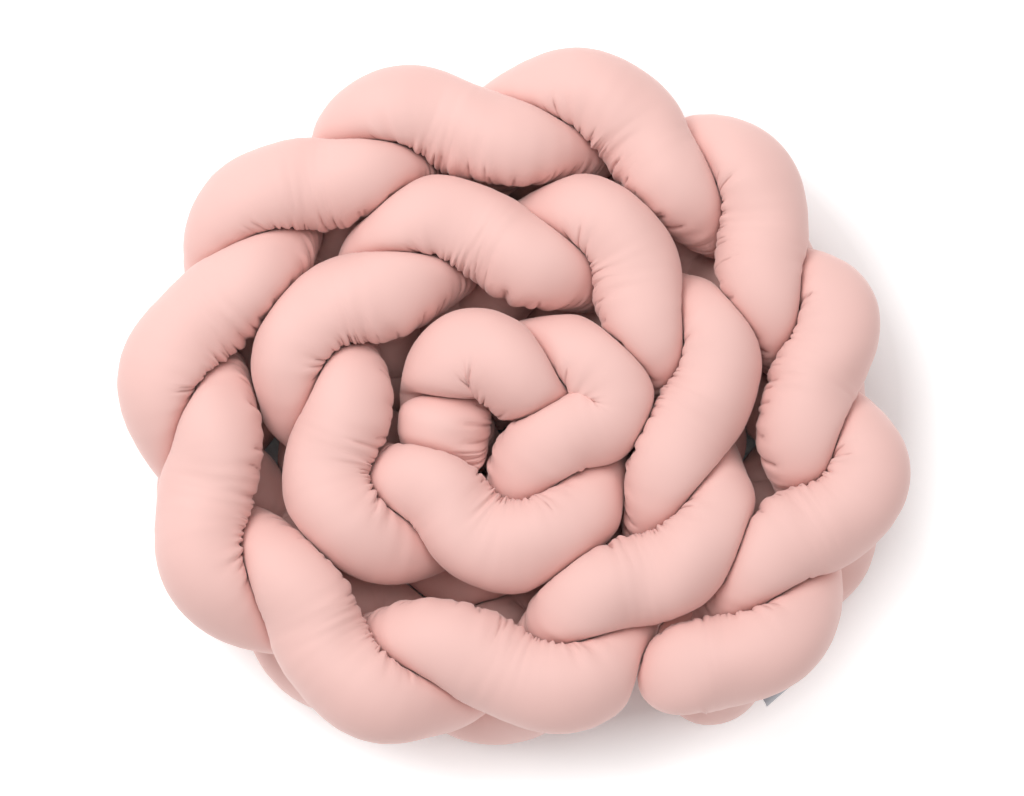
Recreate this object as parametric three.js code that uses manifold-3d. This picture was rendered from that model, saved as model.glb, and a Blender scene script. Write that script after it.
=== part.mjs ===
// Padded cot bumper: three stuffed fabric tubes plaited into a flat braid, stood on its edge
// and wound up into an oval coil. Millimetres, +Z up, the coil rests on z = 0.
import * as THREE from 'three';
import Module from 'manifold-3d';
import * as BufferGeometryUtils from 'three/addons/utils/BufferGeometryUtils.js';

// stuffed tube
const TUBE_RADIUS = 31;
const TUBE_GAP = 4;
const PIECE_GAP = 0.3;
const END_ROUNDING = 34;
const TUBE_SIDES = 16;

// braid
const STRANDS = 3;
const FLARE = 10;
const TUCK = 26;
const SKEW = 6;
const SQUARENESS = 0.18;
const OUTER_ENDS = [-0.58, -0.42, -0.08];
const INNER_END = 20.65;
const FIRST_LOBE = -1;

// sampling along a tube
const SAMPLE_STEP = 9.5;
const RINGS_EVERY = 2;
const OWN_WINDOW = 75;
const MAX_REACH = 60;
const BEND_SHARE = 0.86;
const BLEND_POWER = 10;

// side tag: a doubled strip of satin sewn into the outer lobe, drooping from its root
const TAG_WIDTH = 19;
const TAG_THICKNESS = 1.6;
const TAG_SPOT = { x: 170, y: -196, z: 111, heading: -50 };
const TAG_ROOT = { out: -7, up: 2 };
const TAG_CREST = { out: 6, up: 3 };
const TAG_TIP = { out: 9, up: -14 };

// One row for each lobe on the upper edge of the braid, from the outer end inwards:
// the middle of the lobe, the height of its centreline, how far the tubes swing
// up and down about the braid's middle, and how far they step in and out.
const LOBES = [
  { x: 94, y: -222, top: 104, swing: 34, spread: 12 },
  { x: 132, y: -181, top: 120, swing: 45, spread: 20 },
  { x: 206, y: -89, top: 124, swing: 48, spread: 24 },
  { x: 203, y: 10, top: 124, swing: 48, spread: 20 },
  { x: 167, y: 102, top: 124, swing: 48, spread: 22 },
  { x: 85, y: 174, top: 126, swing: 49, spread: 21 },
  { x: -42, y: 180, top: 124, swing: 48, spread: 20 },
  { x: -137, y: 138, top: 124, swing: 48, spread: 20 },
  { x: -206, y: 47, top: 124, swing: 48, spread: 20 },
  { x: -203, y: -74, top: 124, swing: 48, spread: 21 },
  { x: -126, y: -165, top: 124, swing: 48, spread: 22 },
  { x: -4, y: -188, top: 123, swing: 47, spread: 23 },
  { x: 91, y: -126, top: 124, swing: 48, spread: 23 },
  { x: 125, y: -14, top: 124, swing: 48, spread: 20 },
  { x: 82, y: 76, top: 127, swing: 49, spread: 23 },
  { x: -19, y: 104, top: 124, swing: 48, spread: 20 },
  { x: -113, y: 57, top: 124, swing: 48, spread: 20 },
  { x: -120, y: -44, top: 120, swing: 46, spread: 24 },
  { x: -28, y: -94, top: 119, swing: 45, spread: 28 },
  { x: 62, y: -22, top: 123, swing: 47, spread: 26 },
  { x: -25, y: 24, top: 127, swing: 49, spread: 8 },
  { x: -48, y: -36, top: 104, swing: 37, spread: 5 },
  { x: -26, y: -72, top: 84, swing: 26, spread: 6 },
];

const rowsCurve = (pick) => new THREE.CatmullRomCurve3(LOBES.map(pick), false, 'catmullrom', 0.5);
const wayCurve = rowsCurve((row) => new THREE.Vector3(row.x, row.y, 0));
const levelCurve = rowsCurve((row) => new THREE.Vector3(row.top, row.swing, row.spread));

// Centreline of one tube: it swings up and down across the standing braid while it
// steps in and out, a third of a turn behind its neighbour.
class StrandCurve extends THREE.Curve {
  constructor(index) {
    super();
    this.index = index;
    this.arcLengthDivisions = 900;
  }

  getPoint(share, target = new THREE.Vector3()) {
    const outer = OUTER_ENDS[this.index];
    const lobe = outer + (INNER_END - outer) * share;
    const u = (lobe - FIRST_LOBE) / (LOBES.length - 1);
    const middle = wayCurve.getPoint(u);
    const way = wayCurve.getTangent(u);
    const level = levelCurve.getPoint(u);
    const turn = (2 * Math.PI * (lobe - this.index)) / STRANDS + Math.PI / 2;
    const low = (1 - Math.sin(turn)) / 2;
    const tilt = FLARE * low - TUCK * low ** 2 + SKEW * Math.cos(turn) * (1 - low);
    const aside = tilt - level.z * Math.sin(2 * turn);
    const rise = (Math.sin(turn) + SQUARENESS * Math.sin(3 * turn)) / (1 - SQUARENESS);
    return target.set(
      middle.x + way.y * aside,
      middle.y - way.x * aside,
      level.x - level.y + level.y * rise,
    );
  }
}

// Points, frames and bend of a tube at even steps along it.
function sampleStrand(index) {
  const curve = new StrandCurve(index);
  const length = curve.getLength();
  const count = RINGS_EVERY * Math.round(length / SAMPLE_STEP / RINGS_EVERY);
  const frames = curve.computeFrenetFrames(count, false);
  const step = length / count;
  const samples = curve.getSpacedPoints(count).map((point, i) => {
    const before = frames.tangents[Math.max(i - 1, 0)];
    const after = frames.tangents[Math.min(i + 1, count)];
    const bend = after.clone().sub(before).divideScalar(2 * step);
    return { point, bend, along: i * step, normal: frames.normals[i], side: frames.binormals[i] };
  });
  return { samples, count, length };
}

const strands = Array.from({ length: STRANDS }, (_, index) => sampleStrand(index));

// How far a tube may swell in one direction before it meets the next tube half way.
function reachOf(centre, direction, others) {
  let low = 0;
  let high = MAX_REACH;
  const probe = new THREE.Vector3();
  for (let pass = 0; pass < 12; pass += 1) {
    const reach = (low + high) / 2;
    probe.copy(centre).addScaledVector(direction, reach);
    const limit = (reach + TUBE_GAP) ** 2;
    if (others.some((point) => probe.distanceToSquared(point) < limit)) high = reach;
    else low = reach;
  }
  return low;
}

function ringAt(index, i) {
  const { samples, length } = strands[index];
  const here = samples[i];
  const others = [];
  strands.forEach((strand, number) => {
    for (const sample of strand.samples) {
      const own = number === index && Math.abs(sample.along - here.along) < OWN_WINDOW;
      if (!own && sample.point.distanceTo(here.point) < 2 * MAX_REACH) others.push(sample.point);
    }
  });
  const fromEnd = Math.max(Math.min(here.along, length - here.along) / END_ROUNDING, 0);
  const rounding = Math.sqrt(1 - (1 - Math.min(fromEnd, 1)) ** 2);
  const radius = TUBE_RADIUS * Math.max(rounding, 0.03);
  const ring = [];
  for (let j = 0; j < TUBE_SIDES; j += 1) {
    const angle = (2 * Math.PI * j) / TUBE_SIDES;
    const direction = here.normal.clone().multiplyScalar(Math.cos(angle));
    direction.addScaledVector(here.side, Math.sin(angle));
    const reach = Math.max(reachOf(here.point, direction, others), 0.5);
    const bend = Math.max(here.bend.dot(direction), 1e-4);
    const soft = [radius, reach, BEND_SHARE / bend];
    const blended = soft.reduce((sum, value) => sum + value ** -BLEND_POWER, 0) ** (-1 / BLEND_POWER);
    ring.push({ direction, size: Math.min(blended, reach) });
  }
  return { centre: here.point, ring };
}

// Ring numbers along a tube, closer together at the rounded ends.
function ringNumbers(count) {
  const numbers = [0, 1, 2, 3, 5];
  for (let i = 8; i <= count - 8; i += RINGS_EVERY) numbers.push(i);
  numbers.push(count - 5, count - 3, count - 2, count - 1, count);
  return numbers;
}

const rings = strands.map((strand, index) => ringNumbers(strand.count).map((i) => ringAt(index, i)));

// Closed skin through the rings, flat where the tube rests on the ground.
function skinOf(index, extra = 0) {
  const positions = [];
  const faces = [];
  const list = rings[index];
  const put = (point) => positions.push(point.x, point.y, Math.max(point.z, 0));
  for (const { centre, ring } of list) {
    for (const { direction, size } of ring) put(centre.clone().addScaledVector(direction, size + extra));
  }
  for (let i = 0; i + 1 < list.length; i += 1) {
    for (let j = 0; j < TUBE_SIDES; j += 1) {
      const a = i * TUBE_SIDES + j;
      const b = i * TUBE_SIDES + ((j + 1) % TUBE_SIDES);
      const c = a + TUBE_SIDES;
      const d = b + TUBE_SIDES;
      faces.push(a, b, d, a, d, c);
    }
  }
  const first = list.length * TUBE_SIDES;
  const lastRing = first - TUBE_SIDES;
  put(list[0].centre);
  put(list[list.length - 1].centre);
  for (let j = 0; j < TUBE_SIDES; j += 1) {
    const next = (j + 1) % TUBE_SIDES;
    faces.push(first, next, j);
    faces.push(first + 1, lastRing + j, lastRing + next);
  }
  const geometry = new THREE.BufferGeometry();
  geometry.setAttribute('position', new THREE.Float32BufferAttribute(positions, 3));
  geometry.setIndex(faces);
  return geometry;
}

const wasm = await Module();
wasm.setup();

function toSolid(source) {
  const bare = source.clone();
  bare.deleteAttribute('normal');
  bare.deleteAttribute('uv');
  const merged = BufferGeometryUtils.mergeVertices(bare, 1e-3);
  const vertProperties = new Float32Array(merged.attributes.position.array);
  const triVerts = new Uint32Array(merged.index.array);
  return new wasm.Manifold(new wasm.Mesh({ numProp: 3, vertProperties, triVerts }));
}

function toGeometry(solid) {
  const mesh = solid.getMesh();
  const geometry = new THREE.BufferGeometry();
  geometry.setAttribute('position', new THREE.Float32BufferAttribute(mesh.vertProperties, 3));
  geometry.setIndex(Array.from(mesh.triVerts));
  return geometry;
}

// Each tube is pressed in where a neighbour's skin would otherwise reach into it.
const solids = [];
strands.forEach((strand, index) => {
  let solid = toSolid(skinOf(index));
  solids.forEach((earlier, number) => {
    solid = solid.subtract(toSolid(skinOf(number, PIECE_GAP)));
  });
  const bodies = solid.decompose().sort((p, q) => q.volume() - p.volume());
  solids.push(bodies[0]);
});

// Side tag as a strip along a drooping curve, cut off where it enters the fabric.
function tagSolid() {
  const droop = new THREE.QuadraticBezierCurve(
    new THREE.Vector2(TAG_ROOT.out, TAG_ROOT.up),
    new THREE.Vector2(TAG_CREST.out, TAG_CREST.up),
    new THREE.Vector2(TAG_TIP.out, TAG_TIP.up),
  );
  const upper = [];
  const lower = [];
  for (let i = 0; i <= 10; i += 1) {
    const spot = droop.getPoint(i / 10);
    const way = droop.getTangent(i / 10);
    const across = new THREE.Vector2(-way.y, way.x).multiplyScalar(TAG_THICKNESS / 2);
    upper.push(spot.clone().add(across));
    lower.unshift(spot.clone().sub(across));
  }
  const strip = new THREE.ExtrudeGeometry(new THREE.Shape([...upper, ...lower]), {
    depth: TAG_WIDTH,
    bevelEnabled: false,
    steps: 1,
  });
  strip.translate(0, 0, -TAG_WIDTH / 2);
  const heading = THREE.MathUtils.degToRad(TAG_SPOT.heading);
  const outward = new THREE.Vector3(Math.cos(heading), Math.sin(heading), 0);
  const up = new THREE.Vector3(0, 0, 1);
  const placed = new THREE.Matrix4().makeBasis(outward, up, outward.clone().cross(up));
  placed.setPosition(TAG_SPOT.x, TAG_SPOT.y, TAG_SPOT.z);
  strip.applyMatrix4(placed);
  const cut = toSolid(strip).subtract(toSolid(skinOf(0, PIECE_GAP)));
  return cut.decompose().sort((p, q) => q.volume() - p.volume())[0];
}

const coil = new THREE.Group();
const names = ['strand_a', 'strand_b', 'strand_c'];
solids.forEach((solid, index) => {
  const fabric = new THREE.MeshStandardMaterial({ color: 0xf4c9c4, roughness: 0.62, metalness: 0 });
  const mesh = new THREE.Mesh(toGeometry(solid), fabric);
  mesh.name = names[index];
  coil.add(mesh);
});

const satin = new THREE.MeshStandardMaterial({ color: 0xc9c9cf, roughness: 0.4, metalness: 0 });
const tag = new THREE.Mesh(toGeometry(tagSolid()), satin);
tag.name = 'side_tag';
coil.add(tag);

// the middle of the coil's outline stands over the origin
const outline = new THREE.Box3().setFromObject(coil);
const middle = outline.getCenter(new THREE.Vector3());
coil.children.forEach((mesh) => mesh.position.set(-middle.x, -middle.y, 0));

export default coil;
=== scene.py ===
# Braided cot bumper: three stuffed cotton tubes plaited together and stood on edge in a coil.
import math

import bpy
import numpy as np
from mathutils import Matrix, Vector


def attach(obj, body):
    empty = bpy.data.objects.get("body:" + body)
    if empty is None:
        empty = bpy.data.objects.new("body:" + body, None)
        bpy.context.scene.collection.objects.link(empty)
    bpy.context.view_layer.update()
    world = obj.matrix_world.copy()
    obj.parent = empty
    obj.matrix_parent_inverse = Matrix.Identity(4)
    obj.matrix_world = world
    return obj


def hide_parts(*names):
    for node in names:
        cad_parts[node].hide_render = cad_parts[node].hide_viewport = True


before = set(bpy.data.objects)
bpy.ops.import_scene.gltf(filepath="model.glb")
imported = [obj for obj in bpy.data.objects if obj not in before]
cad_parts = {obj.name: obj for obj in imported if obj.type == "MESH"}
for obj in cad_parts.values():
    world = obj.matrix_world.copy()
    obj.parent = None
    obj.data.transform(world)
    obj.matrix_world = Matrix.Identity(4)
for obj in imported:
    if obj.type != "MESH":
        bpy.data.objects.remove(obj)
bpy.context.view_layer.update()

scene = bpy.context.scene
mm = 0.001

# Each row is the braid's way past one top lobe: place of the way, centre height of the
# lobe, half the braid's height and half its width, in mm, as in the CAD part.
lobes = np.array([
    # t, x, y, top, swing, spread
    (-1, 94, -222, 104, 34, 12),
    (0, 132, -181, 120, 45, 20),
    (1, 206, -89, 124, 48, 24),
    (2, 203, 10, 124, 48, 20),
    (3, 167, 102, 124, 48, 22),
    (4, 85, 174, 126, 49, 21),
    (5, -42, 180, 124, 48, 20),
    (6, -137, 138, 124, 48, 20),
    (7, -206, 47, 124, 48, 20),
    (8, -203, -74, 124, 48, 21),
    (9, -126, -165, 124, 48, 22),
    (10, -4, -188, 123, 47, 23),
    (11, 91, -126, 124, 48, 23),
    (12, 125, -14, 124, 48, 20),
    (13, 82, 76, 127, 49, 23),
    (14, -19, 104, 124, 48, 20),
    (15, -113, 57, 124, 48, 20),
    (16, -120, -44, 120, 46, 24),
    (17, -28, -94, 119, 45, 28),
    (18, 62, -22, 123, 47, 26),
    (19, -25, 24, 127, 49, 8),
    (20, -48, -36, 104, 37, 5),
    (21, -26, -72, 84, 26, 6),
], float)

# Middle of the solids' box in the table's own mm: the CAD part moves it to the origin.
middle = np.array([0.058, -1.432, 0])

# The three tubes, in mm.
tube = {
    # Plait; its ends are lobes, counted as in the table's first column.
    "outerEnds": (-0.58, -0.42, -0.08),  # of tubes a, b and c
    "innerEnd": 20.65,
    "squareness": 0.18,  # keeps a tube up or down a little longer before it crosses over
    "flare": 10,  # a low tube stands out by up to this
    "tuck": 26,  # and is drawn back in by this where it is lowest
    "skew": 6,  # sets a rising tube out and a sinking one in, near the top
    "lineStep": 1.25,
    "wideBlur": 5,  # easing of the line in wide turns, in its own points
    "tightBlur": 8,  # and in the tight turns towards the inner end
    "tightTurns": (0.82, 0.88),  # shares of the length between which they set in
    # Section: round where it is free, pressed flat half-way to its neighbours.
    "radius": 31.5,
    "gap": 0.5,
    "ownWindow": 75,  # nearer than this along its length a tube can't press on itself
    "maxReach": 60,
    "markStep": 3.0,  # between the marks that stand for a neighbour
    "bendShare": 0.86,  # share of a bend's radius that the inside of the bend may fill
    "blendPower": 14,  # how sharply round turns into flat
    "endRounding": 33,
    "endTip": 0.02,  # share of the radius that is left at the very end
    # Rings of the mesh, closest together where pleats show from above.
    "sides": 46,
    "pleatedStep": 1.05,
    "upperStep": 1.9,
    "lowerStep": 3.1,
    "upperHalf": (52, 72),  # heights of the centre line between which the step changes
    "seenAbove": 78,  # pleats below this height don't show from above
    "firstBlur": 2,
    "ringBlur": 4,
    # Gathering, from 0 to 1, where the cloth has more length than it needs. A pair is
    # where it begins and where it is full.
    "bent": (0.15, 0.65),  # tube radius over bend radius
    "touchReach": 7,  # how far from a neighbour it carries inside a bend
    "awayShare": 0.25,  # what is left of it there, away from any neighbour
    "innerShare": 0.9,  # on the coil's inner side
    "innerFacing": (0.68, 0.98),  # 1 faces the coil's middle
    "innerReach": 20,
    "diveShare": 0.7,  # where a tube dives under the next one
    "diveSlope": (-0.05, 0.25),
    "diveFacing": (-0.05, 0.7),
    "high": (50, 75),  # height of the centre line, for the inner side and the dive
    "ungathered": (0, 12),  # from a tube's end
    # Pleats: short creases across the gathered cloth.
    "pleatEvery": (3.2, 9.5),
    "pleatDepth": (1.0, 3.0),
    "pleatHalfWidth": (0.4, 0.9),
    "pleatSlant": 2.6,
    "pleatStart": (0.1, 0.6),  # gathering where a pleat begins to show
    "pleatOver": 0.35,  # and how much more it takes to its full depth
    "puff": 0.4,  # gathered cloth stands proud by this
    # Low lumps of filling, and ripples in the cloth.
    "seed": 40,
    "lumpHeight": 0.8,
    "lumpPressed": 0.25,  # share that is left where a tube lies against another
    "lumpWave": (45, 110),
    "lumpCount": 26,
    "rippleHeight": 0.55,
    "rippleSmooth": 0.1,  # share that smooth cloth has of it
    "rippleAlong": (7, 17),
    "rippleAround": (45, 120),
    "rippleCount": 30,
    "straightRadius": 31,  # of the straightened tube that lumps and cloth are laid on
    "fill": 0.85,
}


# Way of the braid at t, a smooth curve through the rows: x, y, top, swing and spread.
def wayAt(t):
    table = lobes[:, 1:]
    last = len(table) - 1
    place = np.atleast_1d(t) - lobes[0, 0]
    i = np.clip(np.floor(place).astype(int), 0, last - 1)
    w = (place - i)[:, None]
    beforeFirst = 2 * table[0] - table[1]
    afterLast = 2 * table[-1] - table[-2]
    before = np.where((i > 0)[:, None], table[np.maximum(i - 1, 0)], beforeFirst)
    after = np.where((i + 2 <= last)[:, None], table[np.minimum(i + 2, last)], afterLast)
    here, there = table[i], table[i + 1]
    v0, v1 = (there - before) / 2, (after - here) / 2
    cubic = 2 * here - 2 * there + v0 + v1
    square = -3 * here + 3 * there - 2 * v0 - v1
    return cubic * w**3 + square * w**2 + v0 * w + here


# Mean over neighbouring points or rings, weighted by a bell curve of this size.
def blurAlong(values, size):
    kernel = np.exp(-((np.arange(-3 * size, 3 * size + 1) / size) ** 2) / 2)
    kernel /= kernel.sum()
    margins = [(3 * size, 3 * size)] + [(0, 0)] * (values.ndim - 1)
    padded = np.pad(values, margins, mode="edge")
    return sum(k * padded[i:i + len(values)] for i, k in enumerate(kernel))


# Distance along a line of points, at each of them.
def lengthAlong(points):
    steps = np.linalg.norm(np.diff(points, axis=0), axis=1)
    return np.concatenate([[0], np.cumsum(steps)])


# Points of a line at these distances along it.
def placesAt(points, places):
    along = lengthAlong(points)
    return np.column_stack([np.interp(places, along, points[:, i]) for i in range(3)])


# 0 before the start, 1 past the end and an even S between them.
def ramp(x, start, end):
    x = np.clip((x - start) / (end - start), 0, 1)
    return x * x * (3 - 2 * x)


# The same directions, each of length 1.
def unit(vectors):
    return vectors / np.linalg.norm(vectors, axis=1)[:, None]


# Centre line of one tube, from the outer end to the inner one.
def centreLine(strand, count=2400, nudge=0.001):
    t = np.linspace(tube["outerEnds"][strand], tube["innerEnd"], count)
    x, y, top, swing, spread = wayAt(t).T
    ahead = unit(wayAt(t + nudge)[:, :2] - wayAt(t - nudge)[:, :2])
    turn = 2 * np.pi * (t - strand) / 3 + np.pi / 2
    low = (1 - np.sin(turn)) / 2
    tilt = tube["flare"] * low - tube["tuck"] * low**2 + tube["skew"] * np.cos(turn) * (1 - low)
    aside = tilt - spread * np.sin(2 * turn)
    lift = (np.sin(turn) + tube["squareness"] * np.sin(3 * turn)) / (1 - tube["squareness"])
    height = top - swing + swing * lift
    line = np.column_stack([x + ahead[:, 1] * aside, y - ahead[:, 0] * aside, height])
    places = np.arange(0, lengthAlong(line)[-1], tube["lineStep"])
    line = placesAt(line, places)
    tight = ramp(places / places[-1], *tube["tightTurns"])[:, None]
    return blurAlong(line, tube["wideBlur"]) * (1 - tight) + blurAlong(line, tube["tightBlur"]) * tight


# Way of a line, and two directions across it that turn as little as they can.
def framesOn(points):
    way = unit(np.gradient(points, axis=0))
    up = np.zeros_like(way)
    up[0] = np.array([0, 0, 1.0]) - way[0] * way[0, 2]
    up[0] /= np.linalg.norm(up[0])
    for i in range(1, len(points)):
        step = points[i] - points[i - 1]
        k = 2 / (step @ step)
        mirrored = up[i - 1] - k * (step @ up[i - 1]) * step
        mirroredWay = way[i - 1] - k * (step @ way[i - 1]) * step
        turn = way[i] - mirroredWay
        size = turn @ turn
        if size > 1e-12:
            mirrored = mirrored - (2 / size) * (turn @ mirrored) * turn
        across = mirrored - way[i] * (mirrored @ way[i])
        up[i] = across / np.linalg.norm(across)
    return way, up, np.cross(way, up)


lines = [centreLine(strand) for strand in range(3)]
lineLengths = [lengthAlong(line)[-1] for line in lines]
marks = []
for line, length in zip(lines, lineLengths):
    places = np.arange(0, length, tube["markStep"])
    marks.append((places, placesAt(line, places)))
print("centre lines", [round(length) for length in lineLengths], "mm")

angle = np.linspace(0, 2 * np.pi, tube["sides"], endpoint=False)


# How far each ray of a ring runs before it is as near another mark as its own centre.
def reachAt(strand, places, centres, out):
    gap = tube["gap"]
    unbounded = 1e9
    atOnce = 24  # rings worked out together
    nearby = 2 * tube["maxReach"] + 40
    reach = np.full(out.shape[:2], float(tube["maxReach"]))
    for start in range(0, len(centres), atOnce):
        part = slice(start, start + atOnce)
        middleRing = centres[part].mean(0)
        for other, (otherPlaces, otherPoints) in enumerate(marks):
            near = np.linalg.norm(otherPoints - middleRing, axis=1) < nearby
            if not near.any():
                continue
            to = otherPoints[near][None] - centres[part][:, None]
            size = (to**2).sum(-1)
            toward = out[part] @ to.transpose(0, 2, 1) + gap
            bound = (size[:, None] - gap * gap) / (2 * np.maximum(toward, 1e-3))
            bound[toward <= 1e-3] = unbounded
            if other == strand:
                apart = np.abs(otherPlaces[near][None] - places[part][:, None])
                bound = np.where((apart > tube["ownWindow"])[:, None], bound, unbounded)
            reach[part] = np.minimum(reach[part], bound.min(-1))
    return np.maximum(reach, 0.5)


# Smooth seeded unevenness, about 1 high, on a straightened tube: its length, cosine and
# sine in mm.
def wavy(rng, count, straight, alongWaves, aroundWaves):
    along, cosine, sine = straight
    total = np.zeros(along.shape)
    for _ in range(count):
        a = 2 * np.pi / rng.uniform(*alongWaves) * rng.choice([-1, 1])
        b, c = rng.normal(size=2)
        scale = 2 * np.pi / rng.uniform(*aroundWaves) / math.hypot(b, c)
        phase = rng.uniform(0, 2 * np.pi)
        total += np.cos(a * along + b * scale * cosine + c * scale * sine + phase)
    return total / math.sqrt(count / 2)


# Share of gathered cloth: inside a bend, on the coil's inner side and where a tube dives.
def gathering(centres, way, out, r, reach, concave):
    toNeighbour = np.clip(reach - r, 0, None)
    touch = np.exp(-toNeighbour / tube["touchReach"])
    share = tube["awayShare"] + (1 - tube["awayShare"]) * touch
    bent = share * ramp(np.clip(concave, 0, None) * r, *tube["bent"])
    inward = np.cross([0, 0, 1.0], way)
    inward /= np.linalg.norm(inward, axis=1)[:, None] + 1e-9
    facing = (out * inward[:, None]).sum(-1)
    high = ramp(centres[:, 2], *tube["high"])[:, None]
    close = np.exp(-toNeighbour / tube["innerReach"])
    inner = ramp(facing, *tube["innerFacing"]) * high * close
    dive = ramp(-way[:, 2], *tube["diveSlope"])[:, None] * ramp(facing, *tube["diveFacing"]) * high
    return np.clip(bent + tube["innerShare"] * inner + tube["diveShare"] * dive, 0, 1)


# Plump tube without pleats: ring centres, rays, radii, reach, end rounding and gathering.
def plainTube(strand, places, blur):
    centres = placesAt(lines[strand], places)
    way, up, side = framesOn(centres)
    out = up[:, None] * np.cos(angle)[None, :, None] + side[:, None] * np.sin(angle)[None, :, None]
    reach = reachAt(strand, places, centres, out)
    bend = blurAlong(np.gradient(way, axis=0) / np.gradient(places)[:, None], blur)
    concave = (out * bend[:, None]).sum(-1)
    bendLimit = np.where(concave > 1e-6, tube["bendShare"] / np.maximum(concave, 1e-6), 1e9)
    fromEnd = np.clip(np.minimum(places, lineLengths[strand] - places), 0, None)
    closing = 1 - np.clip(fromEnd / tube["endRounding"], 0, 1)
    rounding = np.sqrt(np.clip(1 - closing**2, tube["endTip"] ** 2, 1))
    radius = (tube["radius"] * rounding)[:, None]
    power = tube["blendPower"]
    r = (radius**-power + reach**-power + bendLimit**-power) ** (-1 / power)
    r = np.minimum(blurAlong(r, blur), reach)
    gather = gathering(centres, way, out, r, reach, concave)
    gather *= ramp(fromEnd, *tube["ungathered"])[:, None]
    return centres, out, r, reach, rounding, gather


# Where the rings of a tube stand along its centre line.
def ringPlaces(strand):
    total = lineLengths[strand]
    places = np.linspace(0, total, int(total / tube["markStep"]))
    centres, out, r, _, _, gather = plainTube(strand, places, tube["firstBlur"])
    height = centres[:, None, 2] + out[..., 2] * r
    seen = (height > tube["seenAbove"]) & (out[..., 2] > -0.5)
    pleated = ramp(np.where(seen, gather, 0).max(1), 0, 0.3)
    upper = ramp(centres[:, 2], *tube["upperHalf"])
    step = tube["lowerStep"] + (tube["upperStep"] - tube["lowerStep"]) * upper
    step += (tube["pleatedStep"] - step) * pleated
    count = np.concatenate([[0], np.cumsum(np.diff(places) / blurAlong(step, 3)[1:])])
    return np.interp(np.linspace(0, count[-1], int(count[-1]) + 1), count, places)


# One tube's ring points, and for each point how gathered its cloth is, how deep it lies in
# a pleat and its place on the straightened tube.
def tubeShape(strand):
    rng = np.random.default_rng(tube["seed"] + strand)
    places = ringPlaces(strand)
    centres, out, r, reach, rounding, gather = plainTube(strand, places, tube["ringBlur"])
    level = np.zeros(r.shape)
    cosine = tube["straightRadius"] * np.cos(angle)[None] + level
    sine = tube["straightRadius"] * np.sin(angle)[None] + level
    straight = (places[:, None] + level, cosine, sine)
    free = ramp(reach - r, 0, 5)
    lumps = wavy(rng, tube["lumpCount"], straight, tube["lumpWave"], tube["lumpWave"])
    change = tube["lumpHeight"] * lumps * (tube["lumpPressed"] + (1 - tube["lumpPressed"]) * free)
    ripples = wavy(rng, tube["rippleCount"], straight, tube["rippleAlong"], tube["rippleAround"])
    change += tube["rippleHeight"] * ripples * (tube["rippleSmooth"] + gather)
    change += tube["puff"] * gather
    fold = np.zeros(r.shape)
    at = rng.uniform(2, 6)
    while at < places[-1] - 6:
        depth = rng.uniform(*tube["pleatDepth"])
        halfWidth = rng.uniform(*tube["pleatHalfWidth"])
        facing = rng.uniform(0, 2 * np.pi)
        slant = rng.normal() * tube["pleatSlant"]
        near = np.abs(places - at) < 5 * halfWidth + 3 * tube["pleatSlant"]
        off = places[near][:, None] - at - slant * np.sin(angle - facing)[None]
        crease = np.exp(-np.abs(off) / halfWidth)
        start = rng.uniform(*tube["pleatStart"])
        pressed = crease * ramp(gather[near], start, start + tube["pleatOver"])
        change[near] -= depth * pressed
        fold[near] = np.maximum(fold[near], pressed)
        at += rng.uniform(*tube["pleatEvery"])
    r = np.clip(r + change * rounding[:, None], 0.05, np.maximum(reach, 0.05))
    points = centres[:, None] + out * r[..., None]
    points[..., 2] = np.maximum(points[..., 2], 0)
    return points, gather, fold, np.stack(straight, -1)


def addObject(name, data):
    thing = bpy.data.objects.new(name, data)
    scene.collection.objects.link(thing)
    return thing


# Closed mesh of one tube: quads between the rings and a fan over each end.
def tubeMesh(name, points, pinch, fold, straight):
    count, sides = points.shape[:2]
    place = (points - middle) * mm
    tips = np.array([place[0].mean(0), place[-1].mean(0)])
    vertices = np.concatenate([place.reshape(-1, 3), tips])
    firstRing = np.arange(sides)
    nextPoint = (firstRing + 1) % sides
    rows = np.arange(count - 1)[:, None] * sides
    a = (rows + firstRing[None]).ravel()
    b = (rows + nextPoint[None]).ravel()
    faces = np.column_stack([a, b, b + sides, a + sides]).tolist()
    lastRing = (count - 1) * sides
    tip = count * sides
    for i, j in zip(firstRing.tolist(), nextPoint.tolist()):
        faces.append((tip, j, i))
        faces.append((tip + 1, lastRing + i, lastRing + j))
    mesh = bpy.data.meshes.new(name)
    mesh.from_pydata(vertices.tolist(), [], faces)
    mesh.update()
    mesh.shade_smooth()
    for layerName, values in (("pinch", pinch), ("fold", fold)):
        layer = mesh.attributes.new(layerName, "FLOAT", "POINT")
        layer.data.foreach_set("value", np.append(values.ravel(), [0, 0]).astype(np.float32))
    laid = np.concatenate([straight.reshape(-1, 3), straight[0, :1], straight[-1, :1]]) * mm
    layer = mesh.attributes.new("tubeSpace", "FLOAT_VECTOR", "POINT")
    layer.data.foreach_set("vector", laid.astype(np.float32).ravel())
    return addObject(name, mesh)


# Linear colour of an sRGB hex code.
def colour(code):
    parts = [int(code[i:i + 2], 16) / 255 for i in (1, 3, 5)]
    return tuple(c / 12.92 if c <= 0.04045 else ((c + 0.055) / 1.055) ** 2.4 for c in parts) + (1.0,)


# One node with its settings; a socket gets a value or another node's output.
def addNode(tree, kind, sockets=(), **settings):
    node = tree.nodes.new(kind)
    for key, value in settings.items():
        setattr(node, key, value)
    for socket, source in dict(sockets).items():
        if isinstance(source, bpy.types.NodeSocket):
            tree.links.new(source, node.inputs[socket])
        else:
            node.inputs[socket].default_value = source
    return node


def newMaterial(name):
    material = bpy.data.materials.new(name)
    material.use_nodes = True
    tree = material.node_tree
    return material, tree, tree.nodes["Principled BSDF"]


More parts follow.
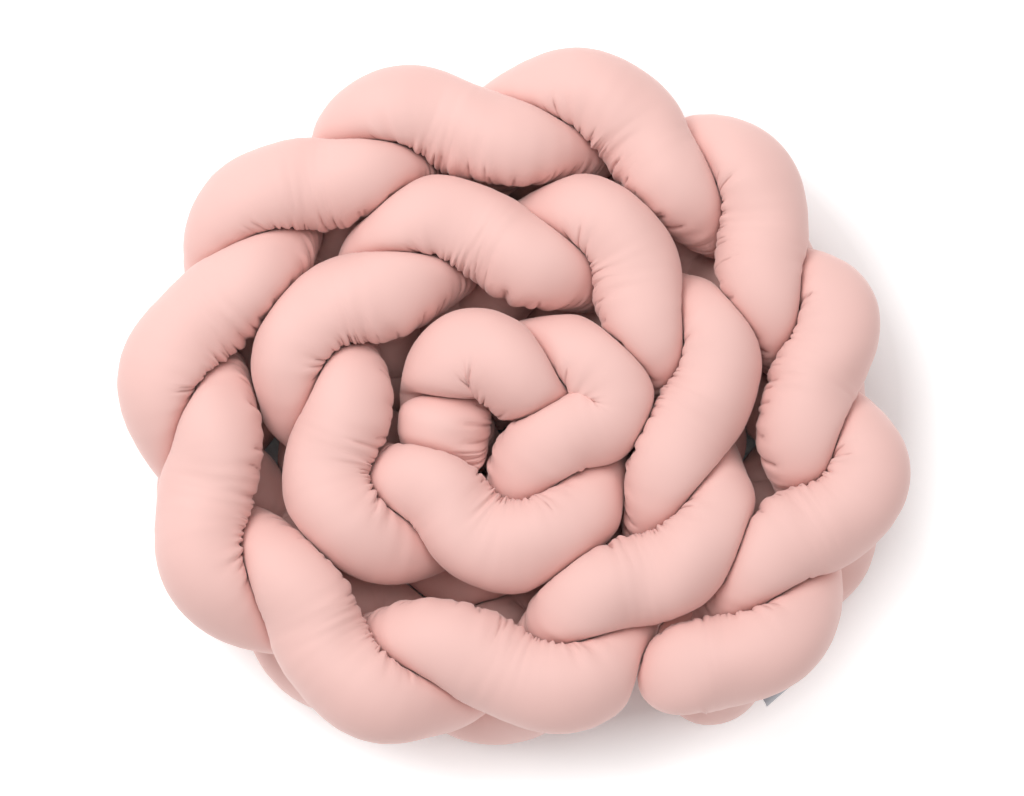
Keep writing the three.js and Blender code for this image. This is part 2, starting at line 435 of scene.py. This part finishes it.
# The tubes' cloth, in mm.
cotton = {
    "pink": "#E8BDB6",
    # deeper pink: random patches of tone, and painted shade on gathered cloth
    "deep": "#DDACA5",
    # painted shade for the pleats' creases
    "fold": "#B9827B",
    "bloom": "#FFF4F1",
    "roughness": 0.68,
    "specular": 0.28,
    "sheen": 0.35,
    "sheenRoughness": 0.45,
    "puckers": (4.76, 18.2, 18.2),  # along the tube and across it
    "puckerHeight": 1.6,
    "pull": 0.9,  # puckers of gathered cloth
    "slack": 0.05,  # and of any cloth
    "threads": 0.667,  # real ones are about 0.2 and too fine to show, so they are drawn coarser
    "threadHeight": 0.15,
    "patches": 55.6,
    "patchTone": 0.12,  # how far patches turn to the deep tone, from 0 to 1
    "gatherShade": 0.35,  # and gathered cloth, as painted shade in its folds
    "foldShade": 0.8,  # how far pleats turn to the fold colour, a painted shade in their creases
}


# Satin-woven cotton: a soft, matt pink with a pale bloom at grazing angles and fine
# puckers where the cloth is gathered, so the plump tubes read as thin fabric over filling.
# Gathered cloth and the pleats' creases are painted darker, as shade in the folds.
def satinCotton():
    material, tree, shader = newMaterial("satin_cotton")
    laid = addNode(tree, "ShaderNodeAttribute", attribute_name="tubeSpace").outputs["Vector"]
    pinch = addNode(tree, "ShaderNodeAttribute", attribute_name="pinch").outputs["Fac"]
    fold = addNode(tree, "ShaderNodeAttribute", attribute_name="fold").outputs["Fac"]
    stretch = addNode(tree, "ShaderNodeMapping", {
        "Vector": laid, "Scale": [1 / (size * mm) for size in cotton["puckers"]]})
    puckers = addNode(tree, "ShaderNodeTexNoise", {
        "Vector": stretch.outputs["Vector"], "Scale": 1.0, "Detail": 3.0})
    threads = addNode(tree, "ShaderNodeTexNoise", {
        "Vector": laid, "Scale": 1 / (cotton["threads"] * mm), "Detail": 2.0})
    patches = addNode(tree, "ShaderNodeTexNoise", {
        "Vector": laid, "Scale": 1 / (cotton["patches"] * mm), "Detail": 2.0})
    tone = addNode(tree, "ShaderNodeMapRange", {
        "Value": patches.outputs["Fac"], "From Min": 0.3, "From Max": 0.7,
        "To Max": cotton["patchTone"]})
    # Random patches of tone, plus painted shade where the cloth is gathered.
    deepen = addNode(tree, "ShaderNodeMath", {
        0: pinch, 1: cotton["gatherShade"], 2: tone.outputs["Result"]}, operation="MULTIPLY_ADD")
    # Sockets 6 and 7 of a colour mix are its two colours, and its output 2 is the result.
    toneAndShade = addNode(tree, "ShaderNodeMix", {
        0: deepen.outputs[0], 6: colour(cotton["pink"]), 7: colour(cotton["deep"])}, data_type="RGBA")
    # Painted shade along the pleats' creases.
    inFold = addNode(tree, "ShaderNodeMapRange", {
        "Value": fold, "From Min": 0.25, "From Max": 0.85, "To Max": cotton["foldShade"]})
    shade = addNode(tree, "ShaderNodeMix", {
        0: inFold.outputs["Result"], 6: toneAndShade.outputs[2], 7: colour(cotton["fold"])}, data_type="RGBA")
    pull = addNode(tree, "ShaderNodeMath", {
        0: pinch, 1: cotton["pull"], 2: cotton["slack"]}, operation="MULTIPLY_ADD")
    puckerBump = addNode(tree, "ShaderNodeBump", {
        "Height": puckers.outputs["Fac"], "Strength": pull.outputs[0],
        "Distance": cotton["puckerHeight"] * mm})
    threadBump = addNode(tree, "ShaderNodeBump", {
        "Height": threads.outputs["Fac"], "Strength": 0.25,
        "Distance": cotton["threadHeight"] * mm, "Normal": puckerBump.outputs["Normal"]})
    tree.links.new(shade.outputs[2], shader.inputs["Base Color"])
    tree.links.new(threadBump.outputs["Normal"], shader.inputs["Normal"])
    shader.inputs["Roughness"].default_value = cotton["roughness"]
    shader.inputs["Specular IOR Level"].default_value = cotton["specular"]
    shader.inputs["Sheen Weight"].default_value = cotton["sheen"]
    shader.inputs["Sheen Roughness"].default_value = cotton["sheenRoughness"]
    shader.inputs["Sheen Tint"].default_value = colour(cotton["bloom"])
    return material


tubeCotton = satinCotton()
for strand, letter in enumerate("abc"):
    piece = tubeMesh(f"tube_{letter}", *tubeShape(strand))
    piece.data.materials.append(tubeCotton)
    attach(piece, "root")
    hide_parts(f"strand_{letter}")
    print("tube", letter, len(piece.data.polygons), "faces")

# Side tag, in mm: one strip of satin folded double, its two ends sewn into the tube's side.
tag = {
    "width": 19,
    "thickness": 0.35,
    "apart": 0.75,  # between the two layers
    "spot": (170, -196, 111),  # where it leaves the tube, as in the CAD part
    "heading": -50,  # degrees from +X
    "root": (-7, 2),  # outward and up from the spot: the sewn-in end
    "crest": (6, 3),
    "tip": (9, -14),
    "curl": 1.4,  # lifts both edges of the tip
    "wave": 0.9,  # and this bends it unevenly
    "waveTurn": 2.4,
    "waveStart": 0.6,
    "slices": 20,
    "steps": 22,
    "foldPoints": 5,
    "satin": "#8E8C94",
    "grain": 0.556,  # real threads are about 0.1 and too fine to show, so they are drawn coarser
    "grainHeight": 0.1,
    "roughness": 0.42,
    "sheen": 0.2,
}


# The folded strip, and its length when laid flat in metres.
def foldedStrip():
    root, crest, tip = (np.array(tag[key], float) for key in ("root", "crest", "tip"))
    u = np.linspace(0, 1, tag["steps"])[:, None]
    curve = (1 - u) ** 2 * root + 2 * u * (1 - u) * crest + u**2 * tip
    way = unit(np.gradient(curve, axis=0))
    across = np.column_stack([-way[:, 1], way[:, 0]])
    half = tag["apart"] / 2
    around = np.linspace(0, np.pi, tag["foldPoints"] + 2)[1:-1]
    fold = curve[-1] + half * (np.cos(around)[:, None] * across[-1] + np.sin(around)[:, None] * way[-1])
    ribbon = np.concatenate([curve + half * across, fold, (curve - half * across)[::-1]])
    flow = unit(np.gradient(ribbon, axis=0))
    normal = np.column_stack([-flow[:, 1], flow[:, 0]]) * tag["thickness"] / 2
    loop = np.concatenate([ribbon + normal, (ribbon - normal)[::-1]])
    reachOut = (loop[:, 0] - root[0]) / (tip[0] - root[0])
    heading = math.radians(tag["heading"])
    outward = np.array([math.cos(heading), math.sin(heading), 0])
    sideways = np.array([-math.sin(heading), math.cos(heading), 0])
    spot = np.array(tag["spot"], float) - middle
    vertices = []
    for v in np.linspace(-1, 1, tag["slices"]):
        curl = tag["curl"] * v * v - tag["wave"] * math.sin(tag["waveTurn"] * v + tag["waveStart"])
        for (o, z), far in zip(loop, reachOut):
            rise = np.array([0, 0, z + curl * far])
            place = spot + outward * o + sideways * v * tag["width"] / 2 + rise
            vertices.append(tuple(place * mm))
    size = len(loop)
    faces = []
    for s in range(tag["slices"] - 1):
        for i in range(size):
            j = (i + 1) % size
            faces.append((s * size + i, s * size + j, (s + 1) * size + j, (s + 1) * size + i))
    lastSlice = (tag["slices"] - 1) * size
    for i in range(size // 2 - 1):
        rim = (i, i + 1, size - 2 - i, size - 1 - i)
        faces.append(rim[::-1])
        faces.append(tuple(lastSlice + corner for corner in rim))
    mesh = bpy.data.meshes.new("folded_tag")
    mesh.from_pydata(vertices, [], faces)
    mesh.update()
    return addObject("folded_tag", mesh), lengthAlong(ribbon)[-1] * mm


# Woven polyester satin: silver-grey with a low sheen and a fine grain, so the strip reads
# as ribbon beside the matt cotton.
def silverSatin():
    material, tree, shader = newMaterial("silver_satin")
    place = addNode(tree, "ShaderNodeTexCoord")
    grain = addNode(tree, "ShaderNodeTexNoise", {
        "Vector": place.outputs["Object"], "Scale": 1 / (tag["grain"] * mm), "Detail": 2.0})
    grainBump = addNode(tree, "ShaderNodeBump", {
        "Height": grain.outputs["Fac"], "Strength": 0.4, "Distance": tag["grainHeight"] * mm})
    tree.links.new(grainBump.outputs["Normal"], shader.inputs["Normal"])
    shader.inputs["Base Color"].default_value = colour(tag["satin"])
    shader.inputs["Roughness"].default_value = tag["roughness"]
    shader.inputs["Sheen Weight"].default_value = tag["sheen"]
    return material


foldedTag, tagLength = foldedStrip()
foldedTag.data.materials.append(silverSatin())
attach(foldedTag, "root")
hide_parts("side_tag")
print("tag", round(tagLength / mm, 1), "mm long when flat")

# Pale floor in metres, wide enough for every view. It glows a little outside the coil, so
# that it is as white there as the photograph's backdrop.
ground = {
    "half": 6,
    "paper": "#FBFBFB",
    "roughness": 0.9,
    "specular": 0.1,
    "glow": 0.42,
    "glowFrom": 0.23,
    "glowFull": 0.275,
    "glowShift": (-0.012, -0.012, 0),
    "glowShape": (0.88, 1, 1),  # an oval, longer in X
}


# Seamless backdrop paper: matt and nearly white, so only the soft shadow shows on it.
# Outside the coil a painted glow, an emission, lights the floor and cuts that shadow short.
def glowingBackdropPaper():
    material, tree, shader = newMaterial("backdrop_paper_painted_glow")
    place = addNode(tree, "ShaderNodeTexCoord")
    oval = addNode(tree, "ShaderNodeMapping", {
        "Vector": place.outputs["Object"], "Location": ground["glowShift"], "Scale": ground["glowShape"]})
    fromMiddle = addNode(tree, "ShaderNodeVectorMath", {0: oval.outputs["Vector"]}, operation="LENGTH")
    # Painted glow: none inside the coil, rising to full just outside it.
    glow = addNode(tree, "ShaderNodeMapRange", {
        "Value": fromMiddle.outputs["Value"], "From Min": ground["glowFrom"],
        "From Max": ground["glowFull"], "To Max": ground["glow"]})
    tree.links.new(glow.outputs["Result"], shader.inputs["Emission Strength"])
    shader.inputs["Emission Color"].default_value = colour("#FFFFFF")
    shader.inputs["Base Color"].default_value = colour(ground["paper"])
    shader.inputs["Roughness"].default_value = ground["roughness"]
    shader.inputs["Specular IOR Level"].default_value = ground["specular"]
    return material


half = ground["half"]
corners = [(-half, -half, 0), (half, -half, 0), (half, half, 0), (-half, half, 0)]
floorMesh = bpy.data.meshes.new("floor")
floorMesh.from_pydata(corners, [], [(0, 1, 2, 3)])
floorMesh.materials.append(glowingBackdropPaper())
addObject("floor", floorMesh)

# Soft studio light from the upper left of the photograph, with a weaker one overhead.
lights = {
    # name: (place, size, power)
    "key": ((-0.75, 0.7, 1.75), 1.25, 24),
    "overhead": ((0.15, 0.1, 2.3), 1.2, 13),
}
aim = Vector((0, 0, 0.08))
allAround = 0.45
for name, (spot, size, power) in lights.items():
    lamp = bpy.data.lights.new(name, "AREA")
    lamp.size = size
    lamp.energy = power
    holder = addObject(name, lamp)
    holder.location = spot
    holder.rotation_euler = (aim - Vector(spot)).to_track_quat("-Z", "Y").to_euler()
world = bpy.data.worlds.new("studio")
world.use_nodes = True
sky = world.node_tree.nodes["Background"]
sky.inputs["Color"].default_value = colour("#FFFFFF")
sky.inputs["Strength"].default_value = allAround
scene.world = world
scene.view_settings.view_transform = "Standard"
print("floor and lights")

# The photograph looks down from 82 degrees, from the side of the braid's outer end.
view = {"target": (-0.00042, -0.00389, 0.118), "distance": 1.75, "elevation": 82, "lens": 92.24}
tilt = math.radians(view["elevation"])
target = Vector(view["target"])
camera = addObject("camera", bpy.data.cameras.new("camera"))
camera.location = target + view["distance"] * Vector((0, -math.cos(tilt), math.sin(tilt)))
camera.rotation_euler = (target - camera.location).to_track_quat("-Z", "Y").to_euler()
camera.data.lens = view["lens"]
camera.data.sensor_width = 36
scene.camera = camera
print("camera")
